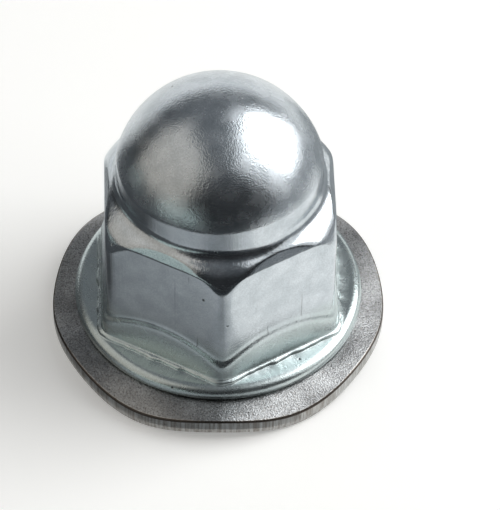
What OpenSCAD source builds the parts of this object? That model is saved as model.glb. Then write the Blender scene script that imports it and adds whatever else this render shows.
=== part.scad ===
// Domed cap nut with a round flange and a captive waved washer.
// The nut stands with its dome up, its axis on Z and one corner of the hexagon towards -Y.
// Z is zero where the drooping waves of the washer's rim touch the ground.

/* [Hexagon] */
// Width across the flats
hex_af = 19; // [18:0.1:20]
// Rounding of the upright corners
hex_corner_r = 1.0; // [0.4:0.1:2]
// Height from the flange's top to the upper end of the chamfer
hex_h = 12.65; // [10:0.05:15]
// Slope of the chamfer, down from level
chamfer_angle = 45; // [38:1:52]
// Depth of the flats' bent tops below the upper end of the chamfer
bend_drop = 1.1; // [0.8:0.05:1.3]
// Lean of the flats' bent tops, in from upright
bend_angle = 24; // [18:1:28]

/* [Skirt at the foot of the hexagon] */
// How far the skirt stands out from the flats
skirt_out = 0.4; // [0.2:0.05:0.6]
// Height of the skirt in the middle of a flat
skirt_h = 3.6; // [2:0.1:4]
// Lean of the skirt's upper slope, out from upright
skirt_angle = 30; // [25:1:45]

/* [Dome] */
// Radius of the dome
dome_r = 8.8; // [8.4:0.05:9]
// Radius of the hollow fillet between the hexagon's top and the dome's collar
fillet_r = 1.25; // [0.8:0.05:1.6]
// Height of the upright collar under the dome
collar_h = 1.75; // [1:0.05:2]
// Ledge between the collar and the dome
collar_step = 0.04; // [0.03:0.01:0.1]
// Depth of the dome's centre below the collar's top
dome_sink = 2.42; // [1.5:0.01:2.8]

/* [Flange] */
// Radius of the flange
flange_r = 12.1; // [11.8:0.1:13]
// Height of the flange
flange_h = 1.1; // [0.8:0.1:1.5]
// Rounding of the flange's upper edge
shoulder_r = 0.85; // [0.5:0.05:1.4]

/* [Thread] */
// Radius of the hole at the crests of the thread, M12 x 1.5
bore_r = 5.188; // [4.8:0.001:5.4]
// Depth of the full hole from the lip's foot
bore_depth = 17.15; // [12:0.05:18]
// Width of the countersink at the mouth
mouth_w = 1.0; // [0.5:0.1:1.4]
// Point angle of the drill that ends the hole
drill_angle = 118; // [90:1:140]

/* [Neck and lip that hold the washer] */
// Radius of the neck that passes through the washer
neck_r = 7.3; // [7:0.05:7.6]
// How far the rolled lip stands out from the neck
lip_out = 0.95; // [0.7:0.05:1.2]
// Thickness of the lip at its edge
lip_edge = 0.25; // [0.2:0.05:0.35]
// Height of the lip's foot above the ground
foot_lift = 0.35; // [0.2:0.05:0.4]

/* [Washer] */
// Radius of the washer
washer_r = 14; // [13.5:0.1:16]
// Thickness of the sheet
washer_t = 1.6; // [1.2:0.1:2]
// Radius inside which the sheet is flat
land_r = 11; // [10:0.1:11.5]
// Fall of the rim's middle level below the flat land
cup_h = 0.85; // [0.6:0.05:1.2]
// Rise of the rim from a drooping wave to a raised one
wave_h = 0.8; // [0.4:0.05:1]
// Number of waves round the rim
wave_n = 6; // [4:1:8]
// Turn of the washer on the neck
washer_turn = -1.5; // [-30:0.5:30]
// Gap round the neck
neck_gap = 0.25; // [0.15:0.05:0.4]
// Gap between the flange's underside and the washer
seat_gap = 0.15; // [0.1:0.05:0.25]
// Gap between the washer's underside and the root of the lip
lip_gap = 0.15; // [0.1:0.05:0.25]

/* [Hidden] */

// Overrun of cuts past the faces they open
overrun = 0.5;
// Facets of round solids
round_fn = 96;
// Steps along an arc of a profile
arc_steps = 6;
// Steps round each upright corner of the hexagon
corner_steps = 4;
// Steps along each wave of the washer
wave_steps = 16;
// Places of the washer's rings between the land and the rim
ring_shares = [0, 0.2, 0.4, 0.6, 0.8, 1];

// Heights above the ground
land_bottom = wave_h / 2 + cup_h;
land_top = land_bottom + washer_t;
flange_bottom = land_top + seat_gap;
flange_top = flange_bottom + flange_h;
hex_top = flange_top + hex_h;
collar_foot = hex_top + fillet_r * cos(chamfer_angle);
collar_top = collar_foot + collar_h;
dome_z = collar_top - dome_sink;

// Hexagon and collar, as radii
hex_corner_max = hex_af / 2 / cos(30);
collar_r = sqrt(dome_r * dome_r - dome_sink * dome_sink) + collar_step;
chamfer_inner_r = collar_r + fillet_r * (1 - sin(chamfer_angle));
skirt_corner_max = (hex_af / 2 + skirt_out) / cos(30);

// Washer
hole_r = neck_r + neck_gap;
rim_reach = washer_r + overrun;

// Points along an arc, from one angle to another
function arc(centre, r, from, to, steps) = [
    for (i = [0 : steps])
        let (a = from + (to - from) * i / steps)
        [centre[0] + r * cos(a), centre[1] + r * sin(a)]
];

// Outline of a hexagon with rounded corners, one corner towards -Y
function hex_outline(af, r) = [
    for (k = [0 : 5])
        let (aim = 60 * k - 90, reach = (af / 2 - r) / cos(30))
        each arc([reach * cos(aim), reach * sin(aim)], r, aim - 30, aim + 30, corner_steps)
];

// Half profile of the chamfer, the hollow fillet and the collar, which trims the hexagon's top
function top_profile() = concat(
    [
        [0, flange_bottom],
        [skirt_corner_max, flange_bottom],
        [skirt_corner_max, hex_top - (skirt_corner_max - chamfer_inner_r) * tan(chamfer_angle)]
    ],
    arc(
        [collar_r + fillet_r, collar_foot],
        fillet_r,
        270 - chamfer_angle,
        180,
        arc_steps
    ),
    [
        [collar_r, collar_top],
        [0, collar_top]
    ]
);

// Half profile of the flange with its rounded shoulder
function flange_profile() =
    let (
        centre = [flange_r - shoulder_r, flange_top - shoulder_r],
        start = shoulder_r > flange_h ? asin((shoulder_r - flange_h) / shoulder_r) : 0
    )
    concat(
        [
            [0, flange_bottom],
            [centre[0] + shoulder_r * cos(start), flange_bottom]
        ],
        [for (p = arc(centre, shoulder_r, start, 90, arc_steps)) if (p[1] > flange_bottom) p],
        [[0, flange_top]]
    );

// Half profile of the neck and the lip rolled out under the washer
function neck_profile() =
    let (
        lip_root = land_bottom - lip_gap,
        lip_r = neck_r + lip_out
    )
    [
        [0, foot_lift],
        [neck_r, foot_lift],
        [lip_r, foot_lift + lip_edge],
        [lip_r, foot_lift + 2 * lip_edge],
        [neck_r, lip_root],
        [neck_r, flange_top],
        [0, flange_top]
    ];

module revolved(profile) {
    rotate_extrude($fn = round_fn)
        polygon(profile);
}

// What is pressed off the tops of the six flats, each as a wedge that leans in over its flat
module pressed_tops() {
    foot = hex_top - bend_drop - overrun;
    foot_x = hex_af / 2 + overrun * tan(bend_angle);
    head_x = foot_x - (collar_foot - foot) * tan(bend_angle);
    outer_x = hex_corner_max + overrun;
    for (k = [0 : 5])
        rotate([90, 0, 60 * k])
            linear_extrude(height = 2 * outer_x, center = true)
                polygon([[foot_x, foot], [outer_x, foot], [outer_x, collar_foot], [head_x, collar_foot]]);
}

module hexagon() {
    difference() {
        intersection() {
            translate([0, 0, flange_bottom])
                linear_extrude(height = collar_top + overrun - flange_bottom)
                    polygon(hex_outline(hex_af, hex_corner_r));
            revolved(top_profile());
        }
        pressed_tops();
    }
}

// Wider hexagon at the foot, cut back by a cone so that its upper edge arches over each flat
module skirt() {
    foot = flange_bottom + flange_h / 2;
    top_z = flange_top + skirt_h;
    inner_r = hex_af / 2 - overrun;
    cone_top = top_z + (hex_af / 2 - inner_r) / tan(skirt_angle);
    intersection() {
        translate([0, 0, foot])
            linear_extrude(height = cone_top - foot)
                polygon(hex_outline(hex_af + 2 * skirt_out, hex_corner_r));
        translate([0, 0, foot])
            cylinder(
                h = cone_top - foot,
                r1 = inner_r + (cone_top - foot) * tan(skirt_angle),
                r2 = inner_r,
                $fn = round_fn
            );
    }
}

// Cap of a ball, let into the collar
module dome() {
    intersection() {
        translate([0, 0, dome_z])
            sphere(r = dome_r, $fn = round_fn);
        translate([0, 0, collar_top - collar_h / 2])
            cylinder(h = dome_r, r = collar_r - collar_step / 2, $fn = round_fn);
    }
}

// Blind hole with a countersunk mouth and the drill's point at its end
module blind_hole() {
    mouth_r = bore_r + mouth_w;
    hole_end = foot_lift + bore_depth;
    translate([0, 0, foot_lift - overrun])
        cylinder(h = bore_depth + overrun, r = bore_r, $fn = round_fn);
    translate([0, 0, hole_end])
        cylinder(h = bore_r / tan(drill_angle / 2), r1 = bore_r, r2 = 0, $fn = round_fn);
    translate([0, 0, foot_lift - overrun])
        cylinder(h = mouth_w + overrun, r1 = mouth_r + overrun, r2 = bore_r, $fn = round_fn);
}

module cap_nut() {
    color("silver")
    difference() {
        union() {
            revolved(neck_profile());
            revolved(flange_profile());
            skirt();
            hexagon();
            dome();
        }
        blind_hole();
    }
}

// Share of the fall and of the wave that the sheet has reached at a radius
function bend_share(r) =
    let (u = max(0, (r - land_r) / (washer_r - land_r)))
    u * u * (3 - u) / 2;

// Height of the sheet's underside at a radius and a direction from the first raised wave
function sheet_z(r, a) =
    land_bottom - bend_share(r) * (cup_h - wave_h / 2 * cos(wave_n * a));

// Sheet of the washer before its hole and its rim are sheared, as one closed surface
module waved_sheet() {
    radii = concat(
        [neck_r - overrun],
        [for (s = ring_shares) land_r + s * (rim_reach - land_r)]
    );
    rings = len(radii);
    sides = wave_n * wave_steps;
    points = [
        for (lift = [0, washer_t], r = radii, j = [0 : sides - 1])
            let (a = 360 * j / sides)
            [r * cos(a), r * sin(a), sheet_z(r, a) + lift]
    ];
    function at(layer, ring, j) = (layer * rings + ring) * sides + j % sides;
    faces = concat(
        [
            for (i = [0 : rings - 2], j = [0 : sides - 1])
                each [
                    [at(0, i, j), at(0, i + 1, j + 1), at(0, i + 1, j)],
                    [at(0, i, j), at(0, i, j + 1), at(0, i + 1, j + 1)],
                    [at(1, i, j), at(1, i + 1, j), at(1, i + 1, j + 1)],
                    [at(1, i, j), at(1, i + 1, j + 1), at(1, i, j + 1)]
                ]
        ],
        [
            for (j = [0 : sides - 1])
                each [
                    [at(0, 0, j), at(1, 0, j), at(1, 0, j + 1)],
                    [at(0, 0, j), at(1, 0, j + 1), at(0, 0, j + 1)],
                    [at(0, rings - 1, j), at(1, rings - 1, j + 1), at(1, rings - 1, j)],
                    [at(0, rings - 1, j), at(0, rings - 1, j + 1), at(1, rings - 1, j + 1)]
                ]
        ]
    );
    polyhedron(points = points, faces = faces);
}

module captive_washer() {
    color("dimgray")
    rotate([0, 0, washer_turn - 90])
        difference() {
            intersection() {
                waved_sheet();
                translate([0, 0, -overrun])
                    cylinder(h = land_top + 2 * overrun, r = washer_r, $fn = round_fn);
            }
            translate([0, 0, -overrun])
                cylinder(h = land_top + 2 * overrun, r = hole_r, $fn = round_fn);
        }
}

cap_nut();
captive_washer();
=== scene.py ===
"""Looks of a domed cap nut with a captive waved washer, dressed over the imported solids.

The nut's blank and the washer's sheet are turned from half profiles by Geometry Nodes,
which then press in the hexagon, cut the thread and bend the waves.
"""
import math

import bpy
from mathutils import Matrix, Vector


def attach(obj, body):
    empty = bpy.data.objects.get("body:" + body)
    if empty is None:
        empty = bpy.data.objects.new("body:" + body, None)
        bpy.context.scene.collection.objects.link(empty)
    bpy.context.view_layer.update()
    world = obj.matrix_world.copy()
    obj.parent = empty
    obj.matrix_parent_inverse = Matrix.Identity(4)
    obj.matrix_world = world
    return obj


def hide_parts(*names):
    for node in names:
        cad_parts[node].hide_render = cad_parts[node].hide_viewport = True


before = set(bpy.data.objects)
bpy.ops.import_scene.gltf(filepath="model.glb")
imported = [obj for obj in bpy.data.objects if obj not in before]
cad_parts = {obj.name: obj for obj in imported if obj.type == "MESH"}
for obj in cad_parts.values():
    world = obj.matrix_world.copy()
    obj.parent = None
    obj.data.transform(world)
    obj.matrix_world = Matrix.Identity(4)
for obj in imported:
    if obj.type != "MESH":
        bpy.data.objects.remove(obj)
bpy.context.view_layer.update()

MM = 0.001

# Columns of vertices round each piece, 52 to each flat of the hexagon
SIDES = 312

# Dome and the upright collar under it; sizes and heights in millimetres
DOME_R = 8.8
DOME_Z = 16.964
COLLAR_R = 8.5
COLLAR_TOP = 19.384
COLLAR_FOOT = 17.68
# Inset and lift of the rings that ease the collar's top into the dome
COLLAR_EASE = [(0.002, -0.36), (0.007, -0.24), (0.018, -0.13), (0.035, -0.03), (0.058, 0.06)]

# Hollow fillet round the collar's foot and the crowned ledge below it; falls in degrees
FILLET_R = 1.5
CROWN_R = 3.4
LEDGE_FALL = 33.0
CORNER_FALL = 62.0

# Flange with its round shoulder
FLANGE_R = 12.1
FLANGE_BOTTOM = 3.0
FLANGE_TOP = 4.1
SHOULDER_R = 0.85
# Bead of metal pushed out along the skirt's foot: offset from the skirt, lift above the flange
BEAD_SECTION = [(0.34, 0.0), (0.3, 0.02), (0.29, 0.12), (0.24, 0.23), (0.14, 0.29), (0.05, 0.31), (0.0, 0.36)]

# Blind hole with its M12 x 1.5 thread, neck and rolled lip
BORE_R = 5.188
HOLE_END = 17.5
DRILL_HALF = math.radians(59)
MOUTH_W = 1.0
PITCH = 1.5
NECK_R = 7.3
LIP_R = 8.25
LIP_EDGE = 0.25
LIP_ROOT = 1.1
FOOT = 0.35

# Washer, before it is bent
WASHER_R = 14.0
WASHER_T = 1.6
HOLE_R = 7.55
LAND_R = 11.0
LAND_BOTTOM = 1.25
# Shearing rolls the rim's lower edge over: its radius, and how far in its centre lies
ROLLED_R = 0.28
ROLLED_IN = 0.34
# Foot of the rim's torn wall: inset from the rim, height above the underside
TORN_FOOT = [(0.05, 0.5), (0.0, 0.62)]
# Burr on the rim's upper edge: inset from the rim, depth below the upper side
BURR_SECTION = [(0.0, 0.12), (0.02, 0.04), (0.08, 0.0)]

# Named inputs of the nut's tree
NUT_FORM = {
    # Hexagon, whose flats bend in at their tops
    "Half across flats": 9.5 * MM,
    "Corner rounding": 1.3 * MM,
    "Bend height": 15.55 * MM,
    "Bend lean": math.radians(24),
    "Bend rounding": 0.08 * MM,
    # Soft edge between the flats and the ledge
    "Edge rounding": 0.4 * MM,
    "Edge run": 2.2 * MM,
    "Edge end": 17.43 * MM,
    # Skirt, with how far it stands out from the flats at its middle height
    "Skirt out": 0.4 * MM,
    "Skirt top": 7.7 * MM,
    "Skirt middle": 4.5 * MM,
    "Skirt lean": math.radians(42),
    "Skirt flare": math.radians(3),
    "Skirt rounding": 0.4 * MM,
    # Room for the bead, the share by which it wanders, and how often it does so along one radius
    "Bead width": 0.4 * MM,
    "Bead wobble": 0.45,
    "Bead swings": 8.0,
    "Push rounding": 0.8 * MM,
    # Round shoulder of the flange
    "Shoulder reach": (FLANGE_R - SHOULDER_R) * MM,
    "Shoulder radius": SHOULDER_R * MM,
    "Flange top": FLANGE_TOP * MM,
    # Thread in the blind hole
    "Thread pitch": PITCH * MM,
    "Thread depth": 0.81 * MM,
    "Thread end": 16.7 * MM,
    "Bore radius": BORE_R * MM,
}

# Named inputs of the washer's tree; the first wave crests at the front
WASHER_FORM = {
    "Land radius": LAND_R * MM,
    "Rim radius": WASHER_R * MM,
    "Cup": 0.85 * MM,
    "Wave": 0.8 * MM,
    "Waves": 6,
    "First wave": math.radians(-91.5),
}

# How a ring of the nut's profile is placed, and what surface a ring of the washer's lies on
TURNED, SHOULDER, BEAD, PRESSED, THREADED = range(5)
SHEET, SHEARED, BURR = range(3)

# Cards of the set: the one face of a sheet with four corners, and their height above the floor in millimetres
FOUR_CORNERS = [(0, 1, 2, 3)]
CARD_LIFT = 0.2

# Frame of the photograph in pixels, and the camera's sensor in millimetres
PHOTO_W = 500
PHOTO_H = 510
SENSOR_W = 36.0


def linear(code):
    """Linear colour of an sRGB hex value."""
    parts = [int(code[i:i + 2], 16) / 255 for i in (1, 3, 5)]
    return [c / 12.92 if c < 0.04045 else ((c + 0.055) / 1.055) ** 2.4 for c in parts] + [1.0]


def node(tree, kind, feeds=None, **settings):
    """Adds a node with its settings; feeds gives an input its value, or the node or output behind it."""
    made = tree.nodes.new(kind)
    for name, value in settings.items():
        setattr(made, name, value)
    for key, value in (feeds or {}).items():
        if isinstance(value, bpy.types.Node):
            value = next(o for o in value.outputs if o.enabled)
        if isinstance(value, bpy.types.NodeSocket):
            tree.links.new(value, made.inputs[key])
        else:
            made.inputs[key].default_value = value
    return made


def arc(x, z, r, start, end, steps):
    """Points of an arc in a half profile, from one angle to another in degrees."""
    angles = [math.radians(start + (end - start) * i / steps) for i in range(steps + 1)]
    return [(x + r * math.cos(a), z + r * math.sin(a)) for a in angles]


def run(start, end, steps):
    """Evenly spaced values, both ends included."""
    return [start + (end - start) * i / steps for i in range(steps + 1)]


def hole_rings():
    """Drill's point, threaded wall and countersunk mouth of the blind hole, from the top down."""
    point_h = BORE_R / math.tan(DRILL_HALF)
    mouth_z = FOOT + MOUTH_W
    point_shares = (0, 0.4, 0.8, 0.97)
    rings_per_pitch = 8
    steps = round((HOLE_END - mouth_z) / PITCH * rings_per_pitch)
    rings = [(BORE_R * share, HOLE_END + point_h * (1 - share), TURNED) for share in point_shares]
    rings += [(BORE_R, z, THREADED) for z in run(HOLE_END, mouth_z, steps)]
    rings += [(BORE_R + out, mouth_z - out, THREADED) for out in run(MOUTH_W / 10, MOUTH_W, 9)]
    return rings


def lip_rings():
    """Flat foot, rolled lip and neck, from the hole's mouth out and up to the flange."""
    # Rounding of the lip's edge, hollows at the neck's ends, and offsets that ease an edge or keep it crisp
    lip_round = 0.12
    lip_sink = 0.13
    root = 0.2
    ease = 0.06
    crisp = 0.04
    lead = 0.1
    points = [(BORE_R + MOUTH_W + crisp, FOOT), (NECK_R - lead, FOOT), (NECK_R, FOOT + lead / 10)]
    points += [(LIP_R - lip_round, FOOT + LIP_EDGE - ease / 2)]
    points += arc(LIP_R - lip_round, FOOT + 1.5 * LIP_EDGE, lip_round, -80, 75, 6)
    points += [(LIP_R - root, FOOT + 2 * LIP_EDGE + ease), (NECK_R + LIP_EDGE, LIP_ROOT - lip_sink)]
    points += [(NECK_R + ease, LIP_ROOT), (NECK_R, LIP_ROOT + 2 * ease)]
    points += [(NECK_R, z) for z in run(LIP_ROOT + 2 * root, FLANGE_BOTTOM - root, 3)]
    points += [(NECK_R + ease, FLANGE_BOTTOM - ease), (NECK_R + root, FLANGE_BOTTOM)]
    return [(r, z, TURNED) for r, z in points]


def flange_rings():
    """Underside, edge and shoulder of the flange, then the bead that lies on it at the skirt's foot."""
    broken = 0.12
    lead = 0.1
    points = [(r, FLANGE_BOTTOM) for r in run(LIP_R + LIP_EDGE, FLANGE_R - broken - lead, 4)]
    # The lower edge is broken slightly, the upper one is the round shoulder
    points += arc(FLANGE_R - broken - lead / 10, FLANGE_BOTTOM + broken, broken, -80, 0, 5)
    centre = (FLANGE_R - SHOULDER_R, FLANGE_TOP - SHOULDER_R)
    points += arc(*centre, SHOULDER_R, 0, 24, 3)
    rings = [(r, z, TURNED) for r, z in points]
    rings += [(r, z, SHOULDER) for r, z in arc(*centre, SHOULDER_R, 32, 90, 9)]
    rings += [(out, lift, BEAD) for out, lift in BEAD_SECTION]
    return rings


def hexagon_rings():
    """Skirt, flats, crowned ledge and fillet, from the bead up to the collar's foot."""
    fillet = arc(COLLAR_R + FILLET_R, COLLAR_FOOT, FILLET_R, 270 - LEDGE_FALL, 180, 12)
    # Corners and ledge share one crowned fall from the hollow round the collar
    fall = math.radians(LEDGE_FALL)
    ledge_r, ledge_z = fillet[0]
    centre = (ledge_r - CROWN_R * math.sin(fall), ledge_z - CROWN_R * math.cos(fall))
    crown = arc(*centre, CROWN_R, 90 - CORNER_FALL, 90 - LEDGE_FALL, 26)
    crown_r, crown_z = crown[0]
    # Rings lie close together up the skirt and at the bend, and further apart on the plain flats between
    above_bead = 0.45
    skirt_end = 8.4
    plain_from = 8.9
    plain_to = 13.4
    bend_from = 13.7
    below_crown = 0.09
    heights = run(FLANGE_TOP + above_bead, skirt_end, 25)
    heights += run(plain_from, plain_to, 7)
    heights += run(bend_from, crown_z - below_crown, 14)
    # Below the crown the blank widens downwards, clear of the hexagon that is pressed into it
    rings = [(crown_r + (crown_z - z) / 2, z, PRESSED) for z in heights]
    rings += [(r, z, PRESSED) for r, z in crown[:-1] + fillet]
    return rings


def dome_rings():
    """Upright collar, eased where the dome leans in from it, and the dome up to its pole."""
    above_fillet = 0.3
    below_ease = 0.5
    points = [(COLLAR_R, z) for z in run(COLLAR_FOOT + above_fillet, COLLAR_TOP - below_ease, 3)]
    points += [(COLLAR_R - inset, COLLAR_TOP + lift) for inset, lift in COLLAR_EASE]
    crease = math.degrees(math.asin((COLLAR_TOP - DOME_Z) / DOME_R))
    past_crease = 1.3
    near_pole = 88.5
    points += arc(0, DOME_Z, DOME_R, crease + past_crease, near_pole, 46)
    points += [(0.0, DOME_Z + DOME_R)]
    return [(r, z, TURNED) for r, z in points]


def nut_profile():
    """Rings of the nut from the drill's point, down the hole, out under the flange and up to the pole."""
    return hole_rings() + lip_rings() + flange_rings() + hexagon_rings() + dome_rings()


def washer_profile():
    """Rings round the washer's flat section, from the hole's foot out, up the rim and back in."""
    top = LAND_BOTTOM + WASHER_T
    hole_round = 0.2
    hole_x = HOLE_R + hole_round
    lower_edge = arc(hole_x, LAND_BOTTOM + hole_round, hole_round, 180, 270, 5)
    upper_edge = arc(hole_x, top - hole_round, hole_round, 90, 180, 5)
    # Flat sides, with rings close on both sides of the land's edge, where the sheet is bent
    lower_in = 8.2
    lower_out = WASHER_R - 0.45
    upper_in = 7.85
    upper_out = WASHER_R - 0.2
    beside = 0.1
    lower_side = run(lower_in, LAND_R, 5) + run(LAND_R + 2 * beside, lower_out, 12)
    upper_side = run(upper_out, LAND_R + beside, 14) + run(LAND_R - beside, upper_in, 5)
    wall_from = LAND_BOTTOM + 0.8
    wall_to = top - 0.2
    rim = arc(WASHER_R - ROLLED_IN, LAND_BOTTOM + ROLLED_R, ROLLED_R, -90, 0, 6)
    rim += [(WASHER_R - inset, LAND_BOTTOM + lift) for inset, lift in TORN_FOOT]
    rim += [(WASHER_R, z) for z in run(wall_from, wall_to, 3)]
    burr = [(WASHER_R - inset, top - depth) for inset, depth in BURR_SECTION]
    rings = [(r, z, SHEARED) for r, z in lower_edge]
    rings += [(r, LAND_BOTTOM, SHEET) for r in lower_side]
    rings += [(r, z, SHEARED) for r, z in rim]
    rings += [(r, z, BURR) for r, z in burr]
    rings += [(r, top, SHEET) for r in upper_side]
    rings += [(r, z, SHEARED) for r, z in upper_edge]
    return rings + rings[:1]


def profile_object(name, rings):
    """Loose points that carry a half profile and the rule of each ring into a tree."""
    mesh = bpy.data.meshes.new(name)
    mesh.from_pydata([(r * MM, 0, z * MM) for r, z, _ in rings], [], [])
    mesh.attributes.new("rule", "INT", "POINT").data.foreach_set("value", [rule for _, _, rule in rings])
    made = bpy.data.objects.new(name, mesh)
    bpy.context.scene.collection.objects.link(made)
    return made


def turned_blank():
    """Tree that turns a profile's points about Z on a grid, one column of vertices for each side."""
    tree = bpy.data.node_groups.new("turned_blank", "GeometryNodeTree")
    tree.interface.new_socket("Profile", in_out="INPUT", socket_type="NodeSocketGeometry")
    tree.interface.new_socket("Sides", in_out="INPUT", socket_type="NodeSocketInt")
    tree.interface.new_socket("Blank", in_out="OUTPUT", socket_type="NodeSocketGeometry")
    given = node(tree, "NodeGroupInput")
    profile, sides = given.outputs["Profile"], given.outputs["Sides"]
    count = node(tree, "GeometryNodeAttributeDomainSize", {0: profile}).outputs["Point Count"]
    columns = node(tree, "FunctionNodeIntegerMath", {0: sides, 1: 1}, operation="ADD")
    grid = node(tree, "GeometryNodeMeshGrid", {"Vertices X": columns, "Vertices Y": count})
    index = node(tree, "GeometryNodeInputIndex")
    ring = node(tree, "FunctionNodeIntegerMath", {0: index, 1: count}, operation="MODULO")
    column = node(tree, "FunctionNodeIntegerMath", {0: index, 1: count}, operation="DIVIDE_FLOOR")
    share = node(tree, "ShaderNodeMath", {0: column, 1: sides}, operation="DIVIDE")
    turn = node(tree, "ShaderNodeMath", {0: share, 1: math.tau}, operation="MULTIPLY")
    point = node(tree, "GeometryNodeInputPosition")
    place = node(tree, "GeometryNodeSampleIndex", {0: profile, 1: point, "Index": ring},
                 data_type="FLOAT_VECTOR")
    named = node(tree, "GeometryNodeInputNamedAttribute", {"Name": "rule"}, data_type="INT")
    rule = node(tree, "GeometryNodeSampleIndex", {0: profile, 1: named, "Index": ring}, data_type="INT")
    spun = node(tree, "ShaderNodeVectorRotate", {"Vector": place, "Angle": turn}, rotation_type="Z_AXIS")
    placed = node(tree, "GeometryNodeSetPosition", {0: grid.outputs["Mesh"], "Position": spun})
    turned = node(tree, "GeometryNodeStoreNamedAttribute", {0: placed, "Name": "turn", "Value": turn},
                  data_type="FLOAT")
    ruled = node(tree, "GeometryNodeStoreNamedAttribute", {0: turned, "Name": "rule", "Value": rule},
                 data_type="INT")
    node(tree, "NodeGroupOutput", {0: ruled})
    return tree


def start_tree(name, form, blank):
    """Starts a tree with its sizes and the turned blank; gives it, its inputs and the blank's fields."""
    tree = bpy.data.node_groups.new(name, "GeometryNodeTree")
    tree.interface.new_socket("Profile", in_out="INPUT", socket_type="NodeSocketGeometry")
    tree.interface.new_socket("Sides", in_out="INPUT", socket_type="NodeSocketInt")
    for size in form:
        tree.interface.new_socket(size, in_out="INPUT", socket_type="NodeSocketFloat")
    tree.interface.new_socket("Finish", in_out="INPUT", socket_type="NodeSocketMaterial")
    tree.interface.new_socket("Piece", in_out="OUTPUT", socket_type="NodeSocketGeometry")
    given = node(tree, "NodeGroupInput")
    base = node(tree, "GeometryNodeGroup", node_tree=blank)
    tree.links.new(given.outputs["Profile"], base.inputs["Profile"])
    tree.links.new(given.outputs["Sides"], base.inputs["Sides"])
    turn = node(tree, "GeometryNodeInputNamedAttribute", {"Name": "turn"}, data_type="FLOAT")
    point = node(tree, "GeometryNodeInputPosition")
    apart = node(tree, "ShaderNodeSeparateXYZ", {0: point})
    flat = node(tree, "ShaderNodeCombineXYZ", {0: apart.outputs["X"], 1: apart.outputs["Y"]})
    radius = node(tree, "ShaderNodeVectorMath", {0: flat}, operation="LENGTH").outputs["Value"]
    return tree, given.outputs, base, turn, radius, apart.outputs["Z"]


def end_tree(tree, given, base, turn, radius, height):
    """Puts each vertex at its new radius and height, closes seams and poles, and sets the finish."""
    out = node(tree, "ShaderNodeCombineXYZ", {0: radius, 2: height})
    place = node(tree, "ShaderNodeVectorRotate", {"Vector": out, "Angle": turn}, rotation_type="Z_AXIS")
    moved = node(tree, "GeometryNodeSetPosition", {0: base, "Position": place})
    closed = node(tree, "GeometryNodeMergeByDistance", {0: moved, "Distance": 0.001 * MM})
    smooth = node(tree, "GeometryNodeSetShadeSmooth", {0: closed, "Shade Smooth": True})
    real = node(tree, "GeometryNodeRealizeInstances", {0: smooth})
    done = node(tree, "GeometryNodeSetMaterial", {0: real, "Material": given["Finish"]})
    node(tree, "NodeGroupOutput", {0: done})


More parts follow.
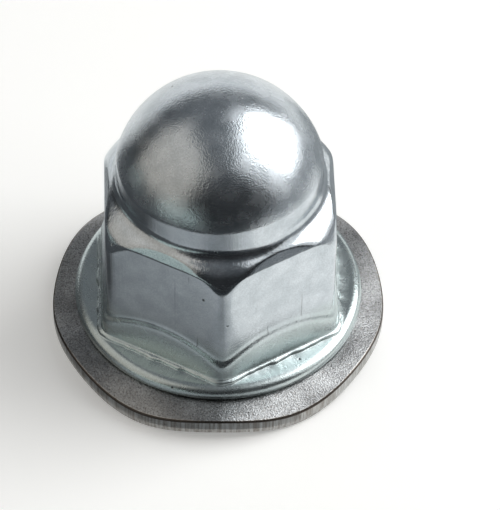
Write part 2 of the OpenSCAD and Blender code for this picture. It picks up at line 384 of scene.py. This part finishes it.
def nut_tree(blank):
    """Presses the hexagon and its skirt into the blank, lays the bead and cuts the thread."""
    tree, given, base, turn, radius, height = start_tree("cap_nut_forging", NUT_FORM, blank)
    half = given["Half across flats"]
    # Turn from the middle of the nearest flat, and from that of the next one
    swing = node(tree, "ShaderNodeMath", {0: turn, 1: math.pi / 6, 2: -math.pi / 6}, operation="WRAP")
    near = node(tree, "ShaderNodeMath", {0: swing}, operation="ABSOLUTE")
    far = node(tree, "ShaderNodeMath", {0: math.pi / 3, 1: near}, operation="SUBTRACT")
    near_cos = node(tree, "ShaderNodeMath", {0: near}, operation="COSINE")
    far_cos = node(tree, "ShaderNodeMath", {0: far}, operation="COSINE")
    # The flats bend in at their tops and are eased where two of them meet
    bent_by = node(tree, "ShaderNodeMath", {0: given["Bend height"], 1: height}, operation="SUBTRACT")
    lean = node(tree, "ShaderNodeMath", {0: given["Bend lean"]}, operation="TANGENT")
    bent = node(tree, "ShaderNodeMath", {0: bent_by, 1: lean, 2: half}, operation="MULTIPLY_ADD")
    flat_half = node(tree, "ShaderNodeMath", {0: half, 1: bent, 2: given["Bend rounding"]},
                     operation="SMOOTH_MIN")
    near_r = node(tree, "ShaderNodeMath", {0: flat_half, 1: near_cos}, operation="DIVIDE")
    far_r = node(tree, "ShaderNodeMath", {0: flat_half, 1: far_cos}, operation="DIVIDE")
    hexagon = node(tree, "ShaderNodeMath", {0: near_r, 1: far_r, 2: given["Corner rounding"]},
                   operation="SMOOTH_MIN")
    # The hexagon meets the crowned ledge in a soft edge, which dies out up the fillet
    soft_from = node(tree, "ShaderNodeMath", {0: given["Edge end"], 1: given["Edge run"]},
                     operation="SUBTRACT")
    soft = node(tree, "ShaderNodeMapRange", {0: height, 1: soft_from, 2: given["Edge end"],
                                             3: given["Edge rounding"], 4: 0.0})
    body = node(tree, "ShaderNodeMath", {0: hexagon, 1: radius, 2: soft}, operation="SMOOTH_MIN")
    # The skirt is a wider, flared hexagon that a cone cuts back, so its upper edge arches over each flat
    level = node(tree, "ShaderNodeMath", {0: height, 1: given["Flange top"]}, operation="MAXIMUM")
    under = node(tree, "ShaderNodeMath", {0: given["Skirt middle"], 1: level}, operation="SUBTRACT")
    flare = node(tree, "ShaderNodeMath", {0: given["Skirt flare"]}, operation="TANGENT")
    proud = node(tree, "ShaderNodeMath", {0: under, 1: flare, 2: given["Skirt out"]},
                 operation="MULTIPLY_ADD")
    wide = node(tree, "ShaderNodeMath", {0: half, 1: proud}, operation="ADD")
    widen = node(tree, "ShaderNodeMath", {0: wide, 1: half}, operation="DIVIDE")
    foot = node(tree, "ShaderNodeMath", {0: hexagon, 1: widen}, operation="MULTIPLY")
    below = node(tree, "ShaderNodeMath", {0: given["Skirt top"], 1: height}, operation="SUBTRACT")
    slope = node(tree, "ShaderNodeMath", {0: given["Skirt lean"]}, operation="TANGENT")
    cone = node(tree, "ShaderNodeMath", {0: below, 1: slope, 2: half}, operation="MULTIPLY_ADD")
    skirt = node(tree, "ShaderNodeMath", {0: foot, 1: cone, 2: given["Skirt rounding"]},
                 operation="SMOOTH_MIN")
    pressed = node(tree, "ShaderNodeMath", {0: body, 1: skirt, 2: given["Skirt rounding"]},
                   operation="SMOOTH_MAX")
    # The bead's outer side wanders a little as it goes round
    aim = node(tree, "ShaderNodeVectorRotate", {"Vector": (1.0, 0.0, 0.0), "Angle": turn},
               rotation_type="Z_AXIS")
    wander = node(tree, "ShaderNodeTexNoise", {"Vector": aim, "Scale": given["Bead swings"], "Detail": 1.0})
    sway = node(tree, "ShaderNodeMapRange", {0: wander, 1: 0.25, 2: 0.75, 3: -1.0, 4: 1.0})
    wobble = node(tree, "ShaderNodeMath", {0: sway, 1: given["Bead wobble"], 2: 1.0},
                  operation="MULTIPLY_ADD")
    # The shoulder's rings give way to the bead outside the skirt's corners and keep to the shoulder's round
    edge = node(tree, "ShaderNodeMath", {0: given["Bead width"], 1: wobble, 2: foot},
                operation="MULTIPLY_ADD")
    pushed = node(tree, "ShaderNodeMath", {0: radius, 1: edge, 2: given["Push rounding"]},
                  operation="SMOOTH_MAX")
    bead = node(tree, "ShaderNodeMath", {0: radius, 1: wobble, 2: foot}, operation="MULTIPLY_ADD")
    rule = node(tree, "GeometryNodeInputNamedAttribute", {"Name": "rule"}, data_type="INT")
    on_bead = node(tree, "FunctionNodeCompare", {2: rule, 3: BEAD}, data_type="INT", operation="EQUAL")
    on_flange = node(tree, "GeometryNodeSwitch", {0: on_bead, 1: pushed, 2: bead}, input_type="FLOAT")
    past = node(tree, "ShaderNodeMath", {0: on_flange, 1: given["Shoulder reach"]}, operation="SUBTRACT")
    over = node(tree, "ShaderNodeMath", {0: past, 1: 0.0}, operation="MAXIMUM")
    over_squared = node(tree, "ShaderNodeMath", {0: over, 1: over}, operation="MULTIPLY")
    round_squared = node(tree, "ShaderNodeMath", {0: given["Shoulder radius"], 1: 2.0}, operation="POWER")
    left_squared = node(tree, "ShaderNodeMath", {0: round_squared, 1: over_squared}, operation="SUBTRACT")
    rise = node(tree, "ShaderNodeMath", {0: left_squared}, operation="SQRT")
    centre_z = node(tree, "ShaderNodeMath", {0: given["Flange top"], 1: given["Shoulder radius"]},
                    operation="SUBTRACT")
    flange_z = node(tree, "ShaderNodeMath", {0: centre_z, 1: rise}, operation="ADD")
    bead_z = node(tree, "ShaderNodeMath", {0: flange_z, 1: height}, operation="ADD")
    # Right-hand thread: flat crest over a quarter of the pitch, flat root over an eighth
    half_pitch = 1 / 2
    half_crest = 1 / 8
    half_root = 1 / 16
    pitches = node(tree, "ShaderNodeMath", {0: height, 1: given["Thread pitch"]}, operation="DIVIDE")
    turns = node(tree, "ShaderNodeMath", {0: turn, 1: math.tau}, operation="DIVIDE")
    along = node(tree, "ShaderNodeMath", {0: pitches, 1: turns}, operation="SUBTRACT")
    saw = node(tree, "ShaderNodeMath", {0: along, 1: half_pitch}, operation="PINGPONG")
    flank = node(tree, "ShaderNodeMapRange", {0: saw, 1: half_crest, 2: half_pitch - half_root,
                                              3: 0.0, 4: 1.0})
    fade_from = node(tree, "ShaderNodeMath", {0: given["Thread end"], 1: given["Thread pitch"]},
                     operation="SUBTRACT")
    fade = node(tree, "ShaderNodeMapRange", {0: height, 1: fade_from, 2: given["Thread end"],
                                             3: 1.0, 4: 0.0})
    depth = node(tree, "ShaderNodeMath", {0: flank, 1: given["Thread depth"]}, operation="MULTIPLY")
    cut = node(tree, "ShaderNodeMath", {0: depth, 1: fade, 2: given["Bore radius"]},
               operation="MULTIPLY_ADD")
    threaded = node(tree, "ShaderNodeMath", {0: cut, 1: radius}, operation="MAXIMUM")
    # Each ring takes the radius and height of its rule, in the order of the rules
    new_r = node(tree, "GeometryNodeIndexSwitch", data_type="FLOAT")
    new_z = node(tree, "GeometryNodeIndexSwitch", data_type="FLOAT")
    for switch, choices in ((new_r, (radius, on_flange, on_flange, pressed, threaded)),
                            (new_z, (height, flange_z, bead_z, height, height))):
        while len(switch.index_switch_items) < len(choices):
            switch.index_switch_items.new()
        tree.links.new(rule.outputs[0], switch.inputs[0])
        for i, choice in enumerate(choices):
            source = choice if isinstance(choice, bpy.types.NodeSocket) else choice.outputs[0]
            tree.links.new(source, switch.inputs[1 + i])
    end_tree(tree, given, base, turn, new_r, new_z)
    return tree


def washer_tree(blank):
    """Bends the flat sheet down outside its land and waves the rim."""
    tree, given, base, turn, radius, height = start_tree("captive_washer_pressing", WASHER_FORM, blank)
    # The bend of a held strip under load: level at the land, steepest at the rim
    past = node(tree, "ShaderNodeMath", {0: radius, 1: given["Land radius"]}, operation="SUBTRACT")
    reach = node(tree, "ShaderNodeMath", {0: given["Rim radius"], 1: given["Land radius"]},
                 operation="SUBTRACT")
    share = node(tree, "ShaderNodeMath", {0: past, 1: reach}, operation="DIVIDE", use_clamp=True)
    share_squared = node(tree, "ShaderNodeMath", {0: share, 1: share}, operation="MULTIPLY")
    rest = node(tree, "ShaderNodeMath", {0: 3.0, 1: share}, operation="SUBTRACT")
    twice = node(tree, "ShaderNodeMath", {0: share_squared, 1: rest}, operation="MULTIPLY")
    bend = node(tree, "ShaderNodeMath", {0: twice, 1: 0.5}, operation="MULTIPLY")
    # The rim falls by the cup, less at a crest and more at a trough
    off = node(tree, "ShaderNodeMath", {0: turn, 1: given["First wave"]}, operation="SUBTRACT")
    phase = node(tree, "ShaderNodeMath", {0: off, 1: given["Waves"]}, operation="MULTIPLY")
    swell = node(tree, "ShaderNodeMath", {0: phase}, operation="COSINE")
    half_wave = node(tree, "ShaderNodeMath", {0: given["Wave"], 1: 0.5}, operation="MULTIPLY")
    lift = node(tree, "ShaderNodeMath", {0: swell, 1: half_wave}, operation="MULTIPLY")
    fall = node(tree, "ShaderNodeMath", {0: given["Cup"], 1: lift}, operation="SUBTRACT")
    drop = node(tree, "ShaderNodeMath", {0: bend, 1: fall}, operation="MULTIPLY")
    bent = node(tree, "ShaderNodeMath", {0: height, 1: drop}, operation="SUBTRACT")
    end_tree(tree, given, base, turn, radius, bent)
    return tree


def made_piece(name, rings, tree, form, finish):
    """Runs a tree on its profile and keeps the result as a plain mesh."""
    source = profile_object(name + "_profile", rings)
    modifier = source.modifiers.new("form", "NODES")
    modifier.node_group = tree
    values = {"Sides": SIDES, "Finish": finish, **form}
    for item in tree.interface.items_tree:
        if item.in_out == "INPUT" and item.name in values:
            modifier[item.identifier] = values[item.name]
    graph = bpy.context.evaluated_depsgraph_get()
    mesh = bpy.data.meshes.new_from_object(source.evaluated_get(graph), preserve_all_data_layers=True,
                                           depsgraph=graph)
    source.modifiers.remove(modifier)
    bpy.data.objects.remove(source)
    mesh.name = name
    piece = bpy.data.objects.new(name, mesh)
    bpy.context.scene.collection.objects.link(piece)
    return piece


def bright_zinc():
    """Bright zinc plate on cold-forged steel: a cool white mirror gone satin, with draw marks and pits."""
    material = bpy.data.materials.new("bright_zinc_plate")
    material.use_nodes = True
    tree = material.node_tree
    shader = tree.nodes["Principled BSDF"]
    shader.inputs["Metallic"].default_value = 1.0
    where = node(tree, "ShaderNodeTexCoord").outputs["Object"]
    height = node(tree, "ShaderNodeSeparateXYZ", {0: where}).outputs["Z"]
    # Heights between which the dome's finish takes over, and the foot's fades out up the skirt
    dome_from = 19.3 * MM
    dome_full = 19.5 * MM
    foot_full = 6.4 * MM
    foot_end = 8.4 * MM
    on_dome = node(tree, "ShaderNodeMapRange", {0: height, 1: dome_from, 2: dome_full, 3: 0.0, 4: 1.0})
    foot = node(tree, "ShaderNodeMapRange", {0: height, 1: foot_end, 2: foot_full, 3: 0.0, 4: 1.0})
    # Grain of the plate, drawn coarser than the real 0.03 mm so that it shows
    grain_w = 0.14 * MM
    grains = node(tree, "ShaderNodeTexVoronoi", {"Vector": where, "Scale": 1 / grain_w})
    grain = grains.outputs["Distance"]
    # Clouds of tint, broken up by finer ones
    cloud_w = 1.5 * MM
    cloud = node(tree, "ShaderNodeTexNoise", {"Vector": where, "Scale": 1 / cloud_w, "Detail": 5.0})
    # Draw marks up and down the flats
    mark_w = 0.25 * MM
    mark_long = 8 * MM
    drawn = node(tree, "ShaderNodeMapping", {0: where, "Scale": (1 / mark_w, 1 / mark_w, 1 / mark_long)})
    marks = node(tree, "ShaderNodeTexNoise", {"Vector": drawn, "Scale": 1.0, "Detail": 2.0})
    # Pits about 0.3 mm across, a few to each flat
    pit_gap = 2.4 * MM
    cells = node(tree, "ShaderNodeTexVoronoi", {"Vector": where, "Scale": 1 / pit_gap})
    pits = node(tree, "ShaderNodeMapRange", {0: cells.outputs["Distance"], 1: 0.03, 2: 0.065,
                                             3: 0.0, 4: 1.0})
    # A few scratches on the flats, 0.1 mm wide and some 5 mm long, where a drawn-out noise peaks
    scratch_gap = 0.4 * MM
    scratch_long = 9 * MM
    flats_middle = 11.2 * MM
    flats_half = 4 * MM
    drawn_out = node(tree, "ShaderNodeMapping", {
        0: where, "Scale": (1 / scratch_gap, 1 / scratch_gap, 1 / scratch_long)})
    peaks = node(tree, "ShaderNodeTexNoise", {"Vector": drawn_out, "Scale": 1.0, "Detail": 0.0})
    scratch = node(tree, "ShaderNodeMapRange", {0: peaks, 1: 0.77, 2: 0.82, 3: 0.0, 4: 0.6})
    on_flats = node(tree, "ShaderNodeMath", {0: height, 1: flats_middle, 2: flats_half}, operation="COMPARE")
    scored = node(tree, "ShaderNodeMath", {0: scratch, 1: on_flats}, operation="MULTIPLY")
    unscored = node(tree, "ShaderNodeMath", {0: 1.0, 1: scored}, operation="SUBTRACT")
    sound = node(tree, "ShaderNodeMath", {0: pits, 1: unscored}, operation="MULTIPLY")
    # Colour: cool white, greener round the foot where the passivate lay thicker, dark in pits and scratches
    tint = node(tree, "ShaderNodeValToRGB", {0: cloud})
    tint.color_ramp.elements[0].position = 0.36
    tint.color_ramp.elements[0].color = linear("#c6ced3")
    tint.color_ramp.elements[1].position = 0.66
    tint.color_ramp.elements[1].color = linear("#d9e0e5")
    green = node(tree, "ShaderNodeMix", {0: foot, 6: tint, 7: linear("#cbd6d6")}, data_type="RGBA")
    speck = node(tree, "ShaderNodeMapRange", {0: grain, 1: 0.25, 2: 0.75, 3: 0.88, 4: 1.0})
    specked = node(tree, "ShaderNodeMix", {0: 1.0, 6: green, 7: speck}, data_type="RGBA",
                   blend_type="MULTIPLY")
    marked = node(tree, "ShaderNodeMix", {0: sound, 6: linear("#6a6d70"), 7: specked}, data_type="RGBA")
    tree.links.new(marked.outputs[2], shader.inputs["Base Color"])
    # Roughness: a clouded mirror, more satin on the dome and round the foot
    rough = node(tree, "ShaderNodeMapRange", {0: cloud, 1: 0.3, 2: 0.7, 3: 0.14, 4: 0.21})
    satin = node(tree, "ShaderNodeMath", {0: on_dome, 1: 0.09, 2: rough}, operation="MULTIPLY_ADD")
    soft = node(tree, "ShaderNodeMath", {0: foot, 1: 0.1, 2: satin}, operation="MULTIPLY_ADD")
    tree.links.new(soft.outputs[0], shader.inputs["Roughness"])
    # Relief: grain that is stronger on the dome, draw marks, and the pits and scratches cut deepest
    relief_h = 0.014 * MM
    grain_high = node(tree, "ShaderNodeMapRange", {0: on_dome, 1: 0.0, 2: 1.0, 3: 0.3, 4: 0.75})
    grained = node(tree, "ShaderNodeMath", {0: grain, 1: grain_high}, operation="MULTIPLY")
    both = node(tree, "ShaderNodeMath", {0: marks, 1: 0.7, 2: grained}, operation="MULTIPLY_ADD")
    relief = node(tree, "ShaderNodeMath", {0: sound, 1: 2.0, 2: both}, operation="MULTIPLY_ADD")
    bump = node(tree, "ShaderNodeBump", {"Strength": 1.0, "Distance": relief_h, "Height": relief})
    tree.links.new(bump.outputs[0], shader.inputs["Normal"])
    return material


def dull_zinc():
    """Dull zinc on spring steel: dark, sandy from tumbling, with a torn sheared edge."""
    material = bpy.data.materials.new("dull_zinc_plate")
    material.use_nodes = True
    tree = material.node_tree
    shader = tree.nodes["Principled BSDF"]
    shader.inputs["Metallic"].default_value = 1.0
    where = node(tree, "ShaderNodeTexCoord").outputs["Object"]
    # Sandy grain, clouds of tint and thin places in the plate
    sand_w = 0.13 * MM
    cloud_w = 3 * MM
    thin_w = 0.15 * MM
    sand = node(tree, "ShaderNodeTexNoise", {"Vector": where, "Scale": 1 / sand_w, "Detail": 3.0})
    cloud = node(tree, "ShaderNodeTexNoise", {"Vector": where, "Scale": 1 / cloud_w, "Detail": 3.0})
    thin = node(tree, "ShaderNodeTexNoise", {"Vector": where, "Scale": 1 / thin_w, "Detail": 2.0})
    # Sheared edge and burr, from the rule that each ring of the section carries
    rule = node(tree, "ShaderNodeAttribute", attribute_name="rule").outputs["Fac"]
    on_edge = node(tree, "ShaderNodeMapRange", {0: rule, 1: 0.4, 2: 0.9, 3: 0.0, 4: 1.0})
    on_burr = node(tree, "ShaderNodeMapRange", {0: rule, 1: 1.2, 2: 1.8, 3: 0.0, 4: 1.0})
    # Upright tears across the sheared edge
    tear_w = 0.2 * MM
    tear_long = 3 * MM
    torn = node(tree, "ShaderNodeMapping", {0: where, "Scale": (1 / tear_w, 1 / tear_w, 1 / tear_long)})
    tears = node(tree, "ShaderNodeTexNoise", {"Vector": torn, "Scale": 1.0, "Detail": 2.0})
    # Colour: clouded grey with brown specks where the plate is thin, streaked on the edge, dark on the burr,
    # which is partly the burr's own colour and partly painted shade along the rim's upper edge
    tint = node(tree, "ShaderNodeValToRGB", {0: cloud})
    tint.color_ramp.elements[0].position = 0.34
    tint.color_ramp.elements[0].color = linear("#9a9c9d")
    tint.color_ramp.elements[1].position = 0.68
    tint.color_ramp.elements[1].color = linear("#c6c8c9")
    rusty = node(tree, "ShaderNodeMapRange", {0: thin, 1: 0.48, 2: 0.75, 3: 0.0, 4: 0.6})
    speckled = node(tree, "ShaderNodeMix", {0: rusty, 6: tint, 7: linear("#72695f")}, data_type="RGBA")
    dulled = node(tree, "ShaderNodeMapRange", {0: sand, 1: 0.34, 2: 0.66, 3: 0.5, 4: 1.0})
    sandy = node(tree, "ShaderNodeMix", {0: 1.0, 6: speckled, 7: dulled}, data_type="RGBA",
                 blend_type="MULTIPLY")
    streak = node(tree, "ShaderNodeMapRange", {0: tears, 1: 0.35, 2: 0.65, 3: 0.0, 4: 1.0})
    sheared = node(tree, "ShaderNodeMix", {0: streak, 6: linear("#8e8a85"), 7: linear("#bcbdbc")},
                   data_type="RGBA")
    edged = node(tree, "ShaderNodeMix", {0: on_edge, 6: sandy, 7: sheared}, data_type="RGBA")
    # The burr's dark colour is partly its own and partly painted shade along the rim's upper edge
    burr_and_painted_shade = node(tree, "ShaderNodeMix", {0: on_burr, 6: edged, 7: linear("#4f4944")}, data_type="RGBA")
    tree.links.new(burr_and_painted_shade.outputs[2], shader.inputs["Base Color"])
    # Roughness and relief follow the sand, and on the edge the relief follows the tears
    relief_h = 0.03 * MM
    rough = node(tree, "ShaderNodeMapRange", {0: sand, 1: 0.3, 2: 0.7, 3: 0.26, 4: 0.38})
    tree.links.new(rough.outputs[0], shader.inputs["Roughness"])
    relief = node(tree, "ShaderNodeMix", {0: on_edge, 2: sand, 3: tears}, data_type="FLOAT")
    bump = node(tree, "ShaderNodeBump", {"Strength": 1.0, "Distance": relief_h, "Height": relief})
    tree.links.new(bump.outputs[0], shader.inputs["Normal"])
    return material


def matt(name, colour="#ffffff", glow=0.0):
    """Matt card or floor; glow lifts it for what sees it directly, in a mirror or through glass."""
    material = bpy.data.materials.new(name)
    material.use_nodes = True
    tree = material.node_tree
    shader = tree.nodes["Principled BSDF"]
    shader.inputs["Base Color"].default_value = linear(colour)
    shader.inputs["Roughness"].default_value = 0.9
    shader.inputs["Specular IOR Level"].default_value = 0.0
    shader.inputs["Emission Color"].default_value = linear(colour)
    rays = node(tree, "ShaderNodeLightPath").outputs
    seen = node(tree, "ShaderNodeMath", {0: rays["Is Camera Ray"], 1: rays["Is Glossy Ray"]},
                operation="ADD")
    through = node(tree, "ShaderNodeMath", {0: seen, 1: rays["Is Transmission Ray"]}, operation="ADD",
                   use_clamp=True)
    lift = node(tree, "ShaderNodeMath", {0: through, 1: glow}, operation="MULTIPLY")
    tree.links.new(lift.outputs[0], shader.inputs["Emission Strength"])
    return material


def paint_shadow_greys(material):
    """Paints the nut's shadow into a card's colour from left to right, with a darker patch of shadow at its
    left and a pale end at the back.
    """
    tree = material.node_tree
    shader = tree.nodes["Principled BSDF"]
    where = node(tree, "ShaderNodeTexCoord").outputs["Object"]
    apart = node(tree, "ShaderNodeSeparateXYZ", {0: where})
    x, y = apart.outputs["X"], apart.outputs["Y"]
    # Painted shadow: greys run across under the nut, from 16 mm left of its axis to 12 mm right of it
    across = node(tree, "ShaderNodeMapRange", {0: x, 1: -16 * MM, 2: 12 * MM, 3: 0.0, 4: 1.0})
    shadow_ramp = node(tree, "ShaderNodeValToRGB", {0: across})
    greys = ((0.08, "#c2c6c9"), (0.46, "#9da1a4"), (0.64, "#a4a7a9"), (0.93, "#eef0f0"))
    stops = shadow_ramp.color_ramp.elements
    while len(stops) < len(greys):
        stops.new(0.5)
    for stop, (place, colour) in zip(stops, greys):
        stop.position = place
        stop.color = linear(colour)
    # The dark patch of deeper painted shadow lies left of the washer, and the pale end starts 6 mm behind the
    # axis
    patch = node(tree, "ShaderNodeMapRange", {0: y, 1: -12 * MM, 2: -6 * MM, 3: 0.0, 4: 1.0})
    left = node(tree, "ShaderNodeMapRange", {0: x, 1: -15 * MM, 2: -18 * MM, 3: 0.0, 4: 0.8})
    dark = node(tree, "ShaderNodeMath", {0: patch, 1: left}, operation="MULTIPLY")
    with_shadow_patch = node(tree, "ShaderNodeMix", {0: dark, 6: shadow_ramp, 7: linear("#3a3d40")}, data_type="RGBA")
    back = node(tree, "ShaderNodeMapRange", {0: y, 1: 6 * MM, 2: 18 * MM, 3: 0.0, 4: 1.0},
                interpolation_type="SMOOTHSTEP")
    mixed = node(tree, "ShaderNodeMix", {0: back, 6: with_shadow_patch, 7: linear("#eef0f0")}, data_type="RGBA")
    tree.links.new(mixed.outputs[2], shader.inputs["Base Color"])
    return material


def stage_sheet(name, corners, faces, material):
    """Sheet of the set, which is no part of the object; corners in millimetres."""
    mesh = bpy.data.meshes.new(name)
    mesh.from_pydata([tuple(c * MM for c in corner) for corner in corners], [], faces)
    mesh.materials.append(material)
    made = bpy.data.objects.new(name, mesh)
    bpy.context.scene.collection.objects.link(made)
    return made


def only_in_reflections(card):
    """Bright metal mirrors this card, which neither shows in the picture nor shades the object."""
    card.visible_camera = False
    card.visible_diffuse = False
    card.visible_transmission = False
    card.visible_shadow = False


def white_floor():
    """White floor that runs out of sight."""
    far = 6000.0
    corners = [(-far, -far, 0), (far, -far, 0), (far, far, 0), (-far, far, 0)]
    stage_sheet("floor", corners, FOUR_CORNERS, matt("white_floor", "#f3f3f1", 0.28))


def dark_cards():
    """Dark cards on the floor to the front, right and left, which give the metal its dark bands."""
    wide = 3000.0
    back = 0.8 * wide
    far_front_left, far_front_right = (-wide, -wide), (wide, -wide)
    far_back_left, far_back_right = (-wide, back), (wide, back)
    front_left, front_right = (-26, -34), (60, -60)
    back_left, back_right = (-26, 24), (62, 45)
    for name, colour, corners in (
            ("front_dark", "#3a3d40", (far_front_left, far_front_right, front_right, front_left)),
            ("right_dark", "#909396", (far_front_right, far_back_right, back_right, front_right)),
            ("left_dark", "#5a5d60", (far_front_left, front_left, back_left, far_back_left))):
        raised = [(x, y, CARD_LIFT) for x, y in corners]
        only_in_reflections(stage_sheet(name, raised, FOUR_CORNERS, matt(name, colour)))


def painted_shadow_rings():
    """Grey stretches of a ring on the floor round the washer, to the left and behind: painted shadow of the
    nut, seen only in reflections; bearings in degrees.
    """
    inner = 14.6
    steps = 16
    faces = [(i, i + steps + 1, i + steps + 2, i + 1) for i in range(steps)]
    for name, start, end, outer, material in (
            ("left_painted_shadow", 130, 300, 75, paint_shadow_greys(matt("left_painted_shadow"))),
            ("back_painted_shadow", 22, 62, 120, matt("back_painted_shadow", "#a8acae"))):
        turns = [math.radians(bearing) for bearing in run(start, end, steps)]
        corners = [(r * math.cos(a), r * math.sin(a), CARD_LIFT / 2) for r in (inner, outer) for a in turns]
        only_in_reflections(stage_sheet(name, corners, faces, material))


def glint_cards():
    """Small pale cards that slope up along a bearing in degrees, from a near edge to a far one."""
    near = 125
    near_lift = 1
    for name, bearing, far, far_lift, half_w, glow in (
            ("left_glint", 174, 180, 4, 22, 0.35),
            ("front_glint", 228, 280, 40, 62, 0.12)):
        along = Vector((math.cos(math.radians(bearing)), math.sin(math.radians(bearing)), 0))
        across = Vector((-along.y, along.x, 0)) * half_w
        near_edge = along * near + Vector((0, 0, near_lift))
        far_edge = along * far + Vector((0, 0, far_lift))
        corners = [near_edge - across, near_edge + across, far_edge + across, far_edge - across]
        only_in_reflections(stage_sheet(name, corners, FOUR_CORNERS, matt(name, "#c9d8d4", glow)))


def studio_world():
    """Dim room, lighter overhead, with a pale wall low down behind the object."""
    world = bpy.data.worlds.new("studio")
    bpy.context.scene.world = world
    world.use_nodes = True
    tree = world.node_tree
    away = node(tree, "ShaderNodeTexCoord").outputs["Generated"]
    apart = node(tree, "ShaderNodeSeparateXYZ", {0: away})
    y, z = apart.outputs["Y"], apart.outputs["Z"]
    # The wall's upper edge rises towards the middle of the back
    wall_top = node(tree, "ShaderNodeMapRange", {0: y, 1: 0.62, 2: 1.0, 3: -0.05, 4: 0.54})
    above = node(tree, "ShaderNodeMath", {0: z, 1: wall_top}, operation="SUBTRACT")
    off_wall = node(tree, "ShaderNodeMapRange", {0: above, 1: -0.02, 2: 0.04, 3: 0.0, 4: 1.0},
                    interpolation_type="SMOOTHSTEP")
    overhead = node(tree, "ShaderNodeMath", {0: y, 1: 0.3, 2: z}, operation="MULTIPLY_ADD")
    rise = node(tree, "ShaderNodeMapRange", {0: overhead, 1: 0.2, 2: 0.95, 3: 0.0, 4: 1.0})
    room = node(tree, "ShaderNodeMix", {0: rise, 6: linear("#2e2f31"), 7: linear("#707377")},
                data_type="RGBA")
    shade = node(tree, "ShaderNodeMix", {0: off_wall, 6: linear("#ffffff"), 7: room}, data_type="RGBA")
    tree.links.new(shade.outputs[2], tree.nodes["Background"].inputs["Color"])


def softbox(name, towards, distance, width, height, radiance, colour):
    """Rectangular lamp that faces the object from a direction; lengths in metres."""
    lamp = bpy.data.lights.new(name, "AREA")
    lamp.shape = "RECTANGLE"
    lamp.size = width
    lamp.size_y = height
    lamp.energy = radiance * math.pi * width * height
    lamp.color = linear(colour)[:3]
    made = bpy.data.objects.new(name, lamp)
    way = Vector(towards).normalized()
    made.location = way * distance
    made.rotation_euler = way.to_track_quat("Z", "Y").to_euler()
    made.visible_camera = False
    bpy.context.scene.collection.objects.link(made)


def photo_camera():
    """Camera 350 mm off and 48.9 degrees up, turned so that the object stands where it does in the frame."""
    distance = 350.0
    rise = math.radians(48.89)
    around = math.radians(-2.02)
    roll = math.radians(0.7)
    # Pixels to a millimetre at the origin, and the pixel at which the origin stands
    scale = 11.755
    origin_x = 218.1
    origin_y = 313.35
    back = Vector((math.cos(rise) * math.sin(around), -math.cos(rise) * math.cos(around), math.sin(rise)))
    right = Vector((math.cos(around), math.sin(around), 0))
    up = back.cross(right)
    side = right * math.cos(roll) + up * math.sin(roll)
    crown = up * math.cos(roll) - right * math.sin(roll)
    aim = side * ((PHOTO_W / 2 - origin_x) / scale) + crown * ((origin_y - PHOTO_H / 2) / scale)
    spot = back * distance
    away = (spot - aim).normalized()
    side = (side - away * side.dot(away)).normalized()
    crown = away.cross(side)
    data = bpy.data.cameras.new("photo_camera")
    data.sensor_fit = "HORIZONTAL"
    data.sensor_width = SENSOR_W
    data.lens = scale * distance / PHOTO_W * SENSOR_W
    data.clip_start = 0.01
    data.clip_end = 20.0
    camera = bpy.data.objects.new("photo_camera", data)
    turned = Matrix((side, crown, away)).transposed().to_4x4()
    camera.matrix_world = Matrix.Translation(spot * MM) @ turned
    bpy.context.scene.collection.objects.link(camera)
    bpy.context.scene.camera = camera


blank = turned_blank()

nut = made_piece("forged_nut", nut_profile(), nut_tree(blank), NUT_FORM, bright_zinc())
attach(nut, "nut")
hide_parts("cap_nut")

washer = made_piece("waved_washer", washer_profile(), washer_tree(blank), WASHER_FORM, dull_zinc())
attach(washer, "washer")
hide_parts("captive_washer")

white_floor()
dark_cards()
painted_shadow_rings()
glint_cards()
studio_world()
softbox("key_softbox", towards=(0.765, 0.19, 0.61), distance=0.5, width=0.4, height=0.44,
        radiance=3.4, colour="#ffffff")
softbox("key_spill", towards=(0.765, 0.03, 0.64), distance=0.52, width=0.72, height=0.74,
        radiance=0.9, colour="#ffffff")
softbox("left_card", towards=(-0.79, -0.22, 0.57), distance=0.5, width=0.68, height=0.62,
        radiance=0.5, colour="#fff6ea")
photo_camera()
bpy.context.scene.view_settings.view_transform = "Standard"
